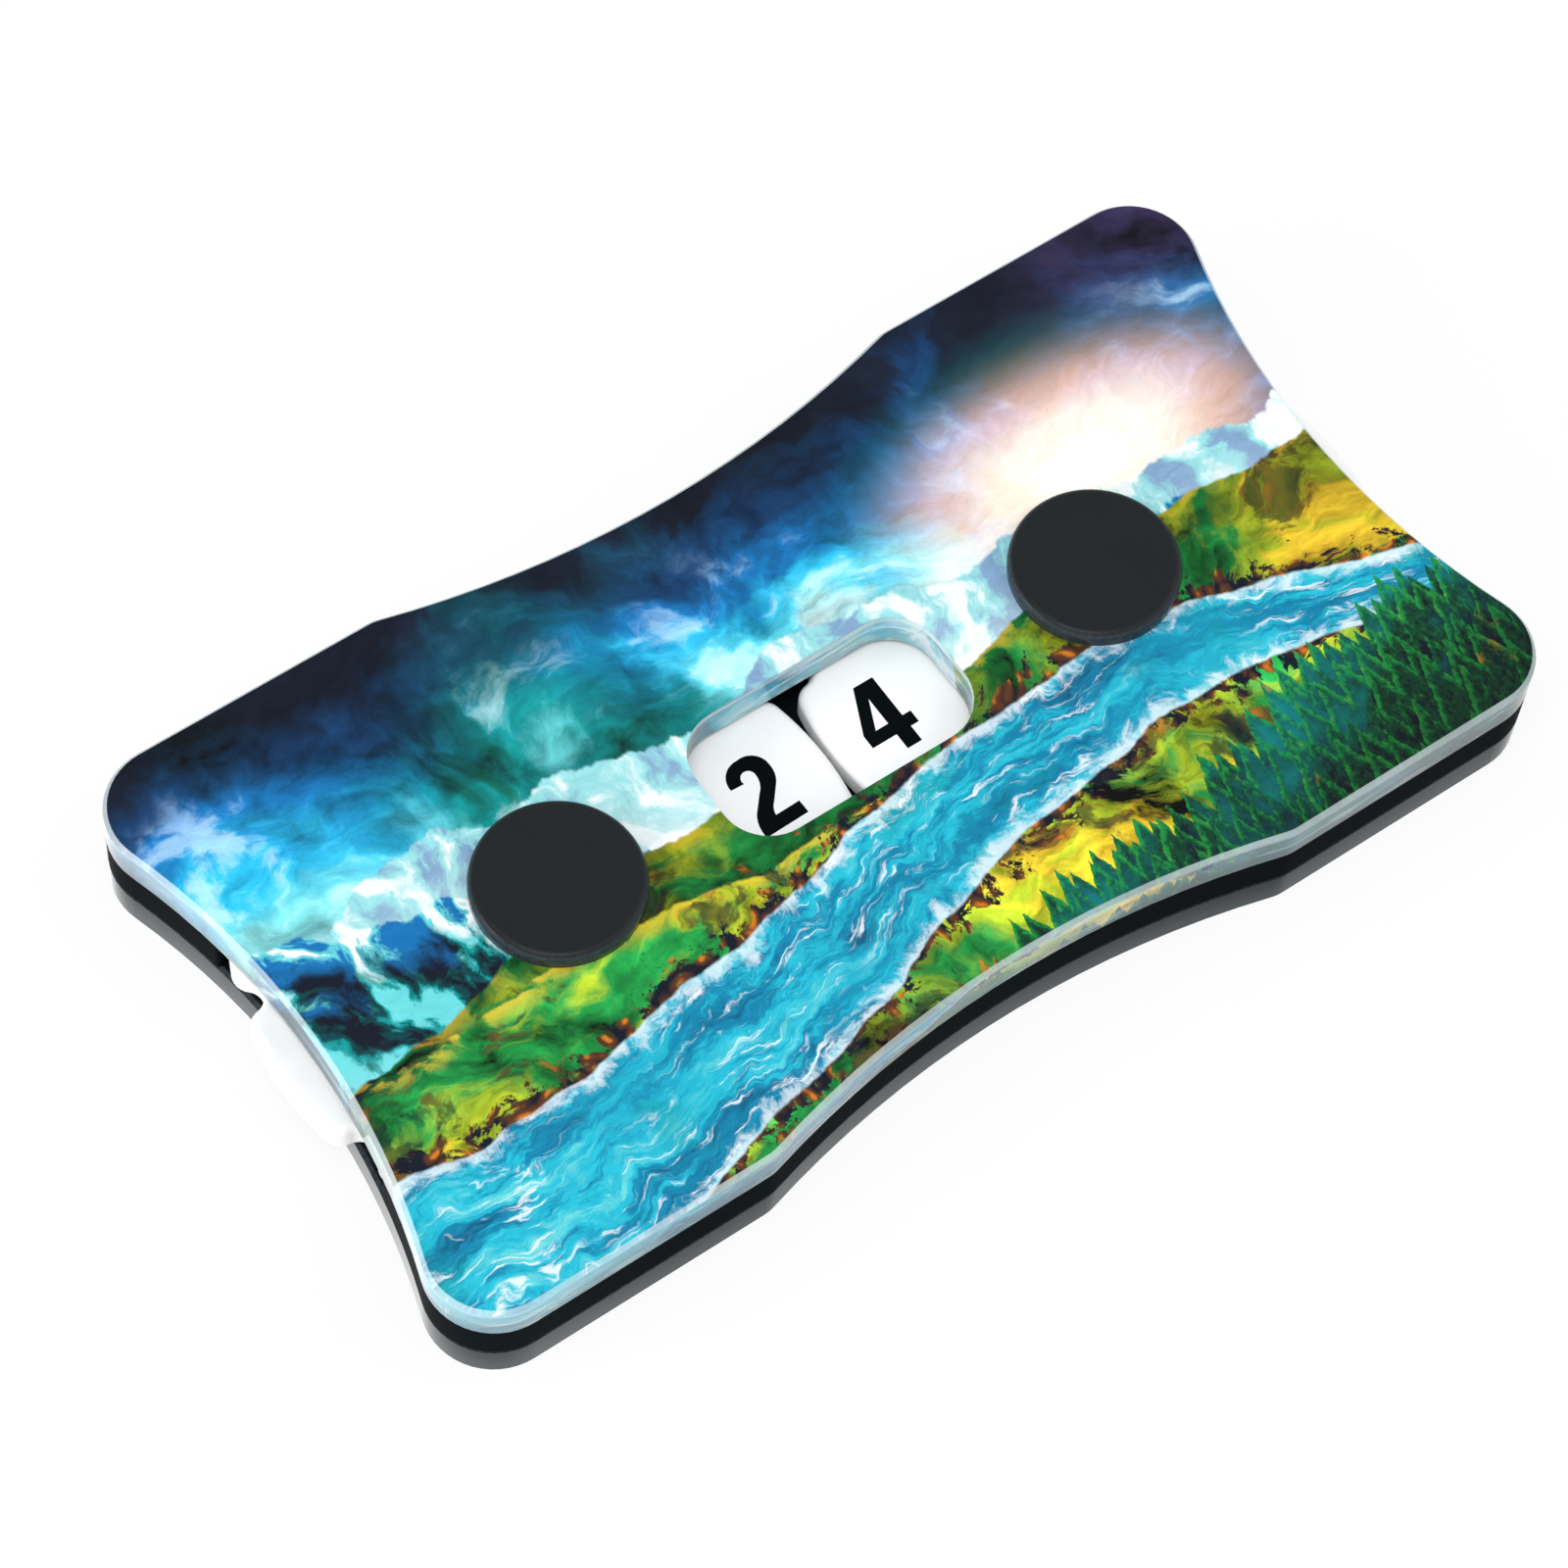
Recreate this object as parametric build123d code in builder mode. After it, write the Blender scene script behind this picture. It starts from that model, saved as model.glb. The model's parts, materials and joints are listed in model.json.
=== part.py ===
from build123d import *
import math
import os

os.makedirs("parts", exist_ok=True)

# Life counter: a waisted stack of three sheets that holds two ten-lobed number wheels.
# Millimetres. The origin is at the middle of the underside, +X runs along the counter,
# +Y points away from the player and +Z points up.

# Outline of the sheets, drawn round the two wheels
rail_wall = 1.6
end_guard = 0.6
corner_radius = 4.8
end_hollow_radius = 56.0
waist_span = 42.3
waist_depth = 2.95
waist_corner_radius = 3.0

# Sheets, from the table up
base_thickness = 3.0
rail_thickness = 3.0
plate_thickness = 3.0
picture_thickness = 0.1
edge_bevel = 0.3

# Window in the top plate
window_length = 19.8
window_width = 10.4
window_corner_radius = 3.6

# Number wheels
axle_spacing = 44.1
wheel_gap = 0.4
wheel_thickness = 2.2
wheel_top_radius = 0.6
wheel_foot_radius = 0.2
rim_clearance = 0.35
notch_radius = 1.25
notch_depth = 1.65
lobe_corner_radius = 1.4

# Rails between the wheels
throat_cover = 1.0
rail_tip_radius = 0.3

# Digits let into the wheels, upright at the window
digit_height = 5.85
digit_depth = 0.15
tens_digit_inset = 5.34
units_digit_inset = 4.4
tens_digit_drop = 0.21
units_digit_drop = -0.06

# Binding posts and their screws
post_head_radius = 6.0
post_head_height = 1.2
post_head_edge = 0.6
post_radius = 2.5
post_clearance = 0.1
post_bite = 1.4
post_thread_radius = 1.5
post_thread_depth = 6.5
thread_clearance = 0.05
post_screw_head_radius = 4.0
post_screw_head_height = 1.1
post_screw_sink = 1.4
post_screw_reach = 5.5
head_clearance = 0.2
driver_slot_width = 0.8
driver_slot_depth = 0.5
screw_edge_bevel = 0.2

# Sleeve and washers on each post
sleeve_wall = 1.4
running_clearance = 0.06
slip_washer_thickness = 0.4
slip_washer_radius = 7.0
spring_washer_radius = 6.5
spring_washer_thickness = 0.15

# Rail screws, up from the underside
rail_screw_radius = 1.0
rail_screw_head_radius = 1.9
rail_screw_head_height = 1.1
rail_screw_length = 5.0
rail_screw_sink = 0.1
rail_screw_tip_room = 0.3
rail_slot_width = 0.5
rail_slot_depth = 0.4

# Overrun of every cut past the face that it opens
overrun = 1.0

# Digits on a wheel, the two that show, and how far the wheels were left turned, in degrees
digit_count = 10
tens_shown = 2
units_shown = 4
tens_digit_tilt = 1.4
units_digit_tilt = 0
tens_lobe_turn = 1.4
units_lobe_turn = 0.7

pitch_angle = 360 / digit_count
axle_x = {"tens": -axle_spacing / 2, "units": axle_spacing / 2}

rail_floor = base_thickness
plate_floor = rail_floor + rail_thickness
picture_floor = plate_floor + plate_thickness
head_floor = picture_floor + picture_thickness
wheel_radius = (axle_spacing - wheel_gap) / 2
notch_centre = wheel_radius - notch_depth + notch_radius
wheel_top = plate_floor - slip_washer_thickness
wheel_floor = wheel_top - wheel_thickness
cavity_radius = wheel_radius + rim_clearance
body_width = 2 * (cavity_radius + rail_wall)
body_length = axle_spacing + 2 * (wheel_radius + end_guard)
sleeve_radius = post_radius + post_clearance + sleeve_wall
hub_radius = sleeve_radius + running_clearance

# The end hollows are arcs about two points beyond the ends, tangent to the rounded corners.
corner_x = body_length / 2 - corner_radius
corner_y = body_width / 2 - corner_radius
end_centre = corner_x + math.sqrt((end_hollow_radius + corner_radius) ** 2 - corner_y**2)

# Each waist is an arc through two corners on the long edge, waist_depth deep at its middle.
waist_radius = ((waist_span / 2) ** 2 + waist_depth**2) / (2 * waist_depth)
waist_centre = body_width / 2 - waist_depth + waist_radius

with BuildSketch() as outline:
    Rectangle(2 * end_centre, body_width)
    with Locations((end_centre, 0), (-end_centre, 0)):
        Circle(end_hollow_radius, mode=Mode.SUBTRACT)
    with Locations((0, waist_centre), (0, -waist_centre)):
        Circle(waist_radius, mode=Mode.SUBTRACT)
    fillet(outline.vertices().sort_by(lambda v: abs(v.X))[-4:], corner_radius)
    fillet(outline.vertices().sort_by(lambda v: abs(v.X))[:4], waist_corner_radius)

# Rail screws stand at the centres of the rounded corners and at the middle of each waist.
throat_half = window_width / 2 + throat_cover
waist_screw_y = (throat_half + body_width / 2 - waist_depth) / 2
rail_screw_places = [(x, y) for x in (-corner_x, corner_x) for y in (-corner_y, corner_y)]
rail_screw_places += [(0, -waist_screw_y), (0, waist_screw_y)]
rail_hole_radius = rail_screw_radius + thread_clearance

# Base plate, with its upper edge bevelled, counterbored below for the post screws
with BuildPart() as base_plate:
    with BuildSketch():
        add(outline.sketch)
    extrude(amount=base_thickness)
    chamfer(base_plate.faces().sort_by(Axis.Z)[-1].outer_wire().edges(), edge_bevel)
    with BuildSketch():
        with Locations(*[(x, 0) for x in axle_x.values()]):
            Circle(post_screw_head_radius + head_clearance)
    extrude(amount=post_screw_sink, mode=Mode.SUBTRACT)
    with BuildSketch():
        with Locations(*[(x, 0) for x in axle_x.values()]):
            Circle(post_radius + post_clearance)
    extrude(amount=base_thickness + overrun, mode=Mode.SUBTRACT)
    with Locations(*[Location((x, y, 0), (180, 0, 0)) for x, y in rail_screw_places]):
        CounterSinkHole(
            rail_screw_radius + head_clearance,
            rail_screw_head_radius + head_clearance,
            depth=base_thickness,
            counter_sink_angle=82,
        )
base_plate.part.label = "base_plate"
export_step(base_plate.part, "parts/base_plate.step")

# Rails: the middle sheet, cut away round both wheels and between them
rail_pieces = {}
for rail_name, rail_side in (("front_rail", -1), ("back_rail", 1)):
    with BuildPart() as rail:
        with BuildSketch(Plane.XY.offset(rail_floor)) as rail_face:
            add(outline.sketch)
            with Locations(*[(x, 0) for x in axle_x.values()]):
                Circle(cavity_radius, mode=Mode.SUBTRACT)
            Rectangle(axle_spacing, 2 * throat_half, mode=Mode.SUBTRACT)
            with Locations((0, rail_side * body_width / 2)):
                Rectangle(body_length, body_width, mode=Mode.INTERSECT)
            fillet(rail_face.vertices().sort_by(lambda v: abs(v.Y))[:4], rail_tip_radius)
        extrude(amount=rail_thickness)
        with BuildSketch(Plane.XY.offset(rail_floor)):
            with Locations(*[(x, y) for x, y in rail_screw_places if y * rail_side > 0]):
                Circle(rail_hole_radius)
        extrude(amount=rail_screw_length + rail_screw_sink - rail_floor + rail_screw_tip_room,
                mode=Mode.SUBTRACT)
    rail.part.label = rail_name
    export_step(rail.part, f"parts/{rail_name}.step")

# Top plate: clear sheet with the window, its upper outer edge bevelled
with BuildPart() as top_plate:
    with BuildSketch(Plane.XY.offset(plate_floor)):
        add(outline.sketch)
    extrude(amount=plate_thickness)
    chamfer(top_plate.faces().sort_by(Axis.Z)[-1].outer_wire().edges(), edge_bevel)
    with BuildSketch(Plane.XY.offset(plate_floor)):
        RectangleRounded(window_length, window_width, window_corner_radius)
        with Locations(*[(x, 0) for x in axle_x.values()]):
            Circle(post_radius + post_clearance)
    extrude(amount=plate_thickness, mode=Mode.SUBTRACT)
top_plate.part.label = "top_plate"
export_step(top_plate.part, "parts/top_plate.step")

# Picture: a printed film on the top plate, inside the bevel
with BuildPart() as picture_film:
    with BuildSketch(Plane.XY.offset(picture_floor)):
        add(outline.sketch)
        offset(amount=-edge_bevel)
        RectangleRounded(window_length, window_width, window_corner_radius, mode=Mode.SUBTRACT)
        with Locations(*[(x, 0) for x in axle_x.values()]):
            Circle(post_radius + post_clearance, mode=Mode.SUBTRACT)
    extrude(amount=picture_thickness)
picture_film.part.label = "picture_film"
export_step(picture_film.part, "parts/picture_film.step")

# Digits as closed outlines, in shares of their height from their own middle. Two numbers are a
# straight step to that point, and four are an arc through the first point to the second.
zero_shares = [
    [(-0.285, 0.23), (0, 0.505, 0.285, 0.23), (0.285, -0.23), (0, -0.505, -0.285, -0.23)],
    [(-0.085, 0.25), (0, 0.335, 0.085, 0.25), (0.085, -0.25), (0, -0.335, -0.085, -0.25)],
]
one_shares = [
    [(0.125, 0.5), (-0.02, 0.5), (-0.07, 0.375, -0.21, 0.345), (-0.21, 0.22), (-0.08, 0.22),
     (-0.08, -0.5), (0.125, -0.5)],
]
two_shares = [
    [(-0.289, 0.222), (-0.212, 0.428, 0, 0.504), (0.216, 0.433, 0.282, 0.25),
     (0.262, 0.112, 0.203, 0.01), (0.042, -0.17), (-0.02, -0.244, -0.047, -0.326), (0.284, -0.326),
     (0.284, -0.506), (-0.307, -0.506), (-0.29, -0.32, -0.222, -0.19), (-0.037, 0.01),
     (0.046, 0.12, 0.07, 0.24), (-0.012, 0.335, -0.11, 0.207)],
]
three_shares = [
    [(-0.285, 0.225), (0, 0.504, 0.275, 0.23), (0.25, 0.115, 0.17, 0.04), (0.256, -0.05, 0.285, -0.2),
     (0, -0.505, -0.285, -0.215), (-0.1, -0.235), (-0.008, -0.337, 0.085, -0.245), (0.085, -0.16),
     (0.048, -0.082, -0.06, -0.055), (-0.06, 0.1), (0.043, 0.125, 0.075, 0.195), (0.075, 0.25),
     (-0.012, 0.337, -0.1, 0.24)],
]
four_shares = [
    [(-0.066, 0.5), (0.208, 0.5), (0.208, -0.107), (0.323, -0.107), (0.323, -0.278),
     (0.208, -0.278), (0.208, -0.5), (0.003, -0.5), (0.003, -0.278), (-0.335, -0.278),
     (-0.335, -0.09)],
    [(0.003, 0.282), (-0.171, -0.107), (0.003, -0.107)],
]
five_shares = [
    [(-0.24, 0.5), (0.255, 0.5), (0.255, 0.33), (-0.065, 0.33), (-0.07, 0.13),
     (0.21, 0.1, 0.285, -0.17), (0, -0.505, -0.285, -0.215), (-0.1, -0.235),
     (-0.008, -0.337, 0.085, -0.245), (0.085, -0.12), (0.025, -0.025, -0.09, -0.06), (-0.27, -0.045)],
]
six_shares = [
    [(-0.285, 0.23), (-0.285, -0.22), (0, -0.505, 0.285, -0.19), (0.21, 0.06, 0.05, 0.125),
     (-0.03, 0.115, -0.085, 0.08), (-0.085, 0.25), (0, 0.335, 0.085, 0.26), (0.28, 0.245),
     (0, 0.505, -0.285, 0.23)],
    [(-0.085, -0.25), (0, -0.335, 0.085, -0.25), (0.085, -0.12), (0, -0.035, -0.085, -0.12)],
]
seven_shares = [
    [(-0.285, 0.5), (0.285, 0.5), (0.285, 0.35), (0.09, -0.03, 0.025, -0.5), (-0.18, -0.5),
     (-0.1, -0.05, 0.07, 0.33), (-0.285, 0.33)],
]
eight_shares = [
    [(-0.17, 0.04), (-0.25, 0.115, -0.275, 0.23), (0, 0.505, 0.275, 0.23), (0.25, 0.115, 0.17, 0.04),
     (0.256, -0.05, 0.285, -0.2), (0, -0.505, -0.285, -0.2), (-0.256, -0.05, -0.17, 0.04)],
    [(-0.08, 0.255), (0, 0.335, 0.08, 0.255), (0.08, 0.185), (0, 0.105, -0.08, 0.185)],
    [(-0.085, -0.25), (0, -0.335, 0.085, -0.25), (0.085, -0.14), (0, -0.055, -0.085, -0.14)],
]
nine_shares = [[tuple(-share for share in step) for step in loop] for loop in six_shares]
digit_shares = [
    zero_shares, one_shares, two_shares, three_shares, four_shares,
    five_shares, six_shares, seven_shares, eight_shares, nine_shares,
]


def draw_digit(loops):
    """One digit as a flat sketch: its outline, less its counters."""
    with BuildSketch() as face:
        for loop in loops:
            start = (loop[0][0] * digit_height, loop[0][1] * digit_height)
            here = start
            with BuildLine():
                for step in loop[1:]:
                    there = (step[-2] * digit_height, step[-1] * digit_height)
                    if len(step) == 2:
                        Line(here, there)
                    else:
                        ThreePointArc(here, (step[0] * digit_height, step[1] * digit_height), there)
                    here = there
                if math.dist(here, start) > 0:
                    Line(here, start)
            make_face(mode=Mode.ADD if loop is loops[0] else Mode.SUBTRACT)
    return face.sketch


digit_faces = [draw_digit(loops) for loops in digit_shares]

wheel_settings = (
    ("tens", -1, tens_shown, tens_digit_inset, tens_digit_drop, tens_digit_tilt, tens_lobe_turn),
    ("units", 1, units_shown, units_digit_inset, units_digit_drop, units_digit_tilt, units_lobe_turn),
)
for place, side, shown, digit_inset, digit_drop, digit_tilt, lobe_turn in wheel_settings:
    x = axle_x[place]

    # Digits: the shown one stands at the window, and the others follow round the wheel.
    with BuildSketch(Plane.XY.offset(wheel_top - digit_depth)) as digits_face:
        for digit, face in enumerate(digit_faces):
            turn = side * pitch_angle * (digit - shown)
            with Locations(Location((x, 0, 0), (0, 0, turn))):
                with Locations(
                    Location((-side * (wheel_radius - digit_inset), -digit_drop, 0), (0, 0, digit_tilt))
                ):
                    add(face)

    # Wheel: ten lobes with rounded corners, parted by shallow round notches, every edge of the rim rounded
    with BuildPart() as wheel:
        with BuildSketch(Plane.XY.offset(wheel_floor)) as wheel_face:
            notch_turn = lobe_turn + pitch_angle / 2
            with Locations(Location((x, 0, 0), (0, 0, notch_turn))):
                Circle(wheel_radius)
            with Locations((x, 0)):
                with PolarLocations(notch_centre, digit_count, start_angle=notch_turn):
                    Circle(notch_radius, mode=Mode.SUBTRACT)
            rim_corners = wheel_face.vertices().sort_by(lambda v: math.hypot(v.X - x, v.Y))
            fillet(rim_corners[-2 * digit_count:], lobe_corner_radius)
            with Locations((x, 0)):
                Circle(hub_radius, mode=Mode.SUBTRACT)
        extrude(amount=wheel_thickness)
        fillet(wheel.faces().sort_by(Axis.Z)[-1].outer_wire().edges(), wheel_top_radius)
        fillet(wheel.faces().sort_by(Axis.Z)[0].outer_wire().edges(), wheel_foot_radius)
        add(digits_face.sketch)
        extrude(amount=digit_depth, mode=Mode.SUBTRACT)
    wheel.part.label = f"{place}_wheel"
    export_step(wheel.part, f"parts/{place}_wheel.step")

    with BuildPart() as digits:
        add(digits_face.sketch)
        extrude(amount=digit_depth)
    digits.part.label = f"{place}_digits"
    export_step(digits.part, f"parts/{place}_digits.step")

    # Binding post: a wide low head on the picture and a barrel down into the base
    with BuildPart() as post:
        with BuildSketch(Plane.XY.offset(head_floor)):
            with Locations((x, 0)):
                Circle(post_head_radius)
        extrude(amount=post_head_height)
        fillet(post.faces().sort_by(Axis.Z)[-1].outer_wire().edges(), post_head_edge)
        with BuildSketch(Plane.XY.offset(head_floor)):
            with Locations((x, 0)):
                Circle(post_radius)
        extrude(amount=base_thickness - post_bite - head_floor)
        with BuildSketch(Plane.XY.offset(base_thickness - post_bite)):
            with Locations((x, 0)):
                Circle(post_thread_radius)
        extrude(amount=post_thread_depth, mode=Mode.SUBTRACT)
    post.part.label = f"{place}_post"
    export_step(post.part, f"parts/{place}_post.step")

    # Post screw: a flat head in the base's counterbore and a shank up into the barrel
    with BuildPart() as post_screw:
        with BuildSketch(Plane.XY.offset(post_screw_sink)):
            with Locations((x, 0)):
                Circle(post_screw_head_radius)
        extrude(amount=-post_screw_head_height)
        chamfer(post_screw.faces().sort_by(Axis.Z)[0].outer_wire().edges(), screw_edge_bevel)
        with BuildSketch(Plane.XY.offset(post_screw_sink)):
            with Locations((x, 0)):
                Circle(post_thread_radius - thread_clearance)
        extrude(amount=post_screw_reach)
        with BuildSketch(Plane.XY.offset(post_screw_sink - post_screw_head_height)):
            with Locations((x, 0)):
                Rectangle(2 * post_screw_head_radius, driver_slot_width)
        extrude(amount=driver_slot_depth, mode=Mode.SUBTRACT)
    post_screw.part.label = f"{place}_post_screw"
    export_step(post_screw.part, f"parts/{place}_post_screw.step")

    # Sleeve: as long as the rails are thick, so that the clamped sheets leave the wheel free
    with BuildPart() as sleeve:
        with BuildSketch(Plane.XY.offset(rail_floor)):
            with Locations((x, 0)):
                Circle(sleeve_radius)
                Circle(post_radius + post_clearance, mode=Mode.SUBTRACT)
        extrude(amount=rail_thickness)
    sleeve.part.label = f"{place}_sleeve"
    export_step(sleeve.part, f"parts/{place}_sleeve.step")

    # Slip washer between the wheel and the top plate
    with BuildPart() as slip_washer:
        with BuildSketch(Plane.XY.offset(wheel_top)):
            with Locations((x, 0)):
                Circle(slip_washer_radius)
                Circle(hub_radius, mode=Mode.SUBTRACT)
        extrude(amount=slip_washer_thickness)
    slip_washer.part.label = f"{place}_slip_washer"
    export_step(slip_washer.part, f"parts/{place}_slip_washer.step")

    # Spring washer: a ring bent to an arc, with its crown under the wheel and its ends on the base
    spring_height = wheel_floor - rail_floor
    spring_bend = (
        (spring_washer_radius**2 + spring_height**2 - spring_washer_thickness**2)
        / (2 * (spring_height - spring_washer_thickness))
    )
    with BuildPart() as spring_washer:
        with BuildSketch(Plane.XY.offset(rail_floor - overrun)):
            with Locations((x, 0)):
                Circle(spring_washer_radius)
                Circle(hub_radius, mode=Mode.SUBTRACT)
        extrude(amount=spring_height + 2 * overrun)
        with BuildSketch(Plane.XZ):
            with Locations((x, wheel_floor - spring_bend)):
                Circle(spring_bend)
                Circle(spring_bend - spring_washer_thickness, mode=Mode.SUBTRACT)
        extrude(amount=spring_washer_radius + overrun, both=True, mode=Mode.INTERSECT)
    spring_washer.part.label = f"{place}_spring_washer"
    export_step(spring_washer.part, f"parts/{place}_spring_washer.step")

# Rail screws: six alike, countersunk in the underside
with BuildPart() as rail_screws:
    with Locations(*[(px, py, rail_screw_sink) for px, py in rail_screw_places]):
        Cylinder(rail_screw_radius, rail_screw_length, align=(Align.CENTER, Align.CENTER, Align.MIN))
        Cone(
            rail_screw_head_radius,
            rail_screw_radius,
            rail_screw_head_height,
            align=(Align.CENTER, Align.CENTER, Align.MIN),
        )
        Box(
            2 * rail_screw_head_radius,
            rail_slot_width,
            rail_slot_depth,
            align=(Align.CENTER, Align.CENTER, Align.MIN),
            mode=Mode.SUBTRACT,
        )
rail_screws.part.label = "rail_screws"
export_step(rail_screws.part, "parts/rail_screws.step")
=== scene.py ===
"""Looks of a flat, waisted life counter with a printed clear plate over two number wheels.

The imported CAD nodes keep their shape, size and place, and no piece is added to them.  This script
gives every node its finish, and sets the studio: floor, world, lamps and camera.
"""

import json
import logging
import math
from dataclasses import dataclass
from enum import Enum

import bpy
from mathutils import Matrix, Vector


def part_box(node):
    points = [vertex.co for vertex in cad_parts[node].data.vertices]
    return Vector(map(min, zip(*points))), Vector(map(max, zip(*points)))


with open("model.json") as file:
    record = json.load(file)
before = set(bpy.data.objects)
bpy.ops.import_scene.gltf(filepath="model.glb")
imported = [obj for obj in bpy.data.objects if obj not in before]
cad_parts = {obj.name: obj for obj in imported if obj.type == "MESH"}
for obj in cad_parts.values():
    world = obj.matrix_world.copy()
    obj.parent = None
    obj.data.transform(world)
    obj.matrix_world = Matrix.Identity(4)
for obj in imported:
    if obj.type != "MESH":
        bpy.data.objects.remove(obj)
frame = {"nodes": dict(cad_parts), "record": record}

log = logging.getLogger("life_counter")

# Sizes in metres, read from the frame to a tenth of a millimetre
MM = 0.001
PLATE_FOOT, PLATE_TOP = (round(corner.z, 4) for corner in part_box("top_plate"))
HALF_LENGTH = round(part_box("top_plate")[1].x, 4)
AXLE_X = max(joint["pos_m"][0] for joint in frame["record"]["behaviour"]["joints"])

SIDES = ("tens", "units")
WHITE = (1.0, 1.0, 1.0)
PLASTIC_GLOSS = 0.4

# Sockets by number, on nodes that have several of one name
MIX_SHARE, MIX_UNDER, MIX_OVER, MIX_COLOUR = 0, 6, 7, 2
SCALE_FACTOR, VECTOR_LENGTH = 3, 1

Socket = bpy.types.NodeSocket
Colour = tuple[float, float, float]
Place = tuple[float, float, float]
Stops = tuple[tuple[float, Colour], ...]
Value = Socket | float
Tint = Socket | Colour


class Blend(Enum):
    """Ways in which one colour is laid over another."""

    OVER = "MIX"
    TIMES = "MULTIPLY"
    SCREEN = "SCREEN"


class Bench:
    """Adds shader nodes to one tree and wires them, so that a finish reads like a formula."""

    def __init__(self, tree: bpy.types.NodeTree) -> None:
        """Keep the tree that the nodes go into."""
        self.tree = tree

    def add(self, kind: str, **settings: object) -> bpy.types.Node:
        """Add one node.

        Args:
            kind: The node's Blender type.
            settings: Its settings by name.

        Returns:
            The new node.
        """
        node = self.tree.nodes.new(kind)
        for name, value in settings.items():
            setattr(node, name, value)
        return node

    def feed(self, target: Socket, value: Value | Tint | None) -> None:
        """Wire a socket to another, or give it a constant.

        Args:
            target: The input socket.
            value: A socket, a number, a colour of three numbers, or None to leave it alone.
        """
        if value is None:
            return
        if isinstance(value, Socket):
            self.tree.links.new(value, target)
        elif isinstance(value, tuple) and target.type == "RGBA":
            target.default_value = (*value, 1.0)
        else:
            target.default_value = value

    def math(self, operation: str, a: Value, b: Value | None = None, c: Value | None = None) -> Socket:
        """Return the result of one sum on numbers.

        Args:
            operation: The sum's Blender name.
            a: First number or socket.
            b: Second, where the sum has one.
            c: Third, where the sum has one.

        Returns:
            The socket that holds the result.
        """
        node = self.add("ShaderNodeMath", operation=operation)
        for slot, value in zip(node.inputs, (a, b, c)):
            self.feed(slot, value)
        return node.outputs[0]

    def plus(self, a: Value, b: Value) -> Socket:
        """Return a + b."""
        return self.math("ADD", a, b)

    def minus(self, a: Value, b: Value) -> Socket:
        """Return a - b."""
        return self.math("SUBTRACT", a, b)

    def times(self, a: Value, b: Value) -> Socket:
        """Return a * b."""
        return self.math("MULTIPLY", a, b)

    def line(self, a: Value, gain: float, start: float) -> Socket:
        """Return a * gain + start."""
        return self.math("MULTIPLY_ADD", a, gain, start)

    def vector(self, operation: str, a: Socket, b: Socket | Place | float) -> Socket:
        """Return the result of one sum on vectors.

        Args:
            operation: The sum's Blender name.
            a: First vector.
            b: Second vector, or SCALE's number.

        Returns:
            The socket that holds the resulting vector.
        """
        node = self.add("ShaderNodeVectorMath", operation=operation)
        self.feed(node.inputs[0], a)
        self.feed(node.inputs[SCALE_FACTOR if operation == "SCALE" else 1], b)
        return node.outputs[0]

    def length(self, x: Value, y: Value) -> Socket:
        """Return how far a place on a plane is from its origin.

        Args:
            x: First part.
            y: Second part.

        Returns:
            The distance's socket.
        """
        node = self.add("ShaderNodeVectorMath", operation="LENGTH")
        self.feed(node.inputs[0], self.joined(x, y, 0.0))
        return node.outputs[VECTOR_LENGTH]

    def parts(self, vector: Socket) -> tuple[Socket, Socket, Socket]:
        """Return a vector's three parts.

        Args:
            vector: The vector.

        Returns:
            The sockets of its X, Y and Z.
        """
        node = self.add("ShaderNodeSeparateXYZ")
        self.feed(node.inputs[0], vector)
        return node.outputs[0], node.outputs[1], node.outputs[2]

    def joined(self, x: Value, y: Value, z: Value) -> Socket:
        """Return a vector of three parts.

        Args:
            x: First part.
            y: Second part.
            z: Third part.

        Returns:
            The vector's socket.
        """
        node = self.add("ShaderNodeCombineXYZ")
        for slot, value in zip(node.inputs, (x, y, z)):
            self.feed(slot, value)
        return node.outputs[0]

    def step(self, value: Value, start: float, end: float, low: float = 0.0, high: float = 1.0) -> Socket:
        """Return a smooth step.

        Args:
            value: What is tested.
            start: Where the step starts.
            end: Where it ends; below start, the step falls.
            low: Result at the start.
            high: Result at the end.

        Returns:
            The socket of the smooth step, held at both ends.
        """
        node = self.add("ShaderNodeMapRange", interpolation_type="SMOOTHSTEP")
        if start > end:
            start, end, low, high = end, start, high, low
        for slot, number in zip(node.inputs, (value, start, end, low, high)):
            self.feed(slot, number)
        return node.outputs[0]

    def noise(self, vector: Socket, scale: float, detail: float = 4.0, roughness: float = 0.55,
              twist: float = 0.0) -> tuple[Socket, Socket]:
        """Return a noise as a number and as three of them.

        Args:
            vector: Where it is read.
            scale: Features per unit.
            detail: Number of finer layers.
            roughness: Share that each finer layer keeps.
            twist: How far the noise shifts itself.

        Returns:
            The number's socket and the three-part socket.
        """
        node = self.add("ShaderNodeTexNoise")
        self.feed(node.inputs["Vector"], vector)
        self.feed(node.inputs["Scale"], scale)
        self.feed(node.inputs["Detail"], detail)
        self.feed(node.inputs["Roughness"], roughness)
        self.feed(node.inputs["Distortion"], twist)
        return node.outputs[0], node.outputs[1]

    def cells(self, vector: Socket, scale: float) -> Socket:
        """Return the distance to the nearest of scattered points.

        Args:
            vector: Where it is read.
            scale: Points per unit.

        Returns:
            The distance's socket.
        """
        node = self.add("ShaderNodeTexVoronoi")
        self.feed(node.inputs["Vector"], vector)
        self.feed(node.inputs["Scale"], scale)
        return node.outputs["Distance"]

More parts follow.
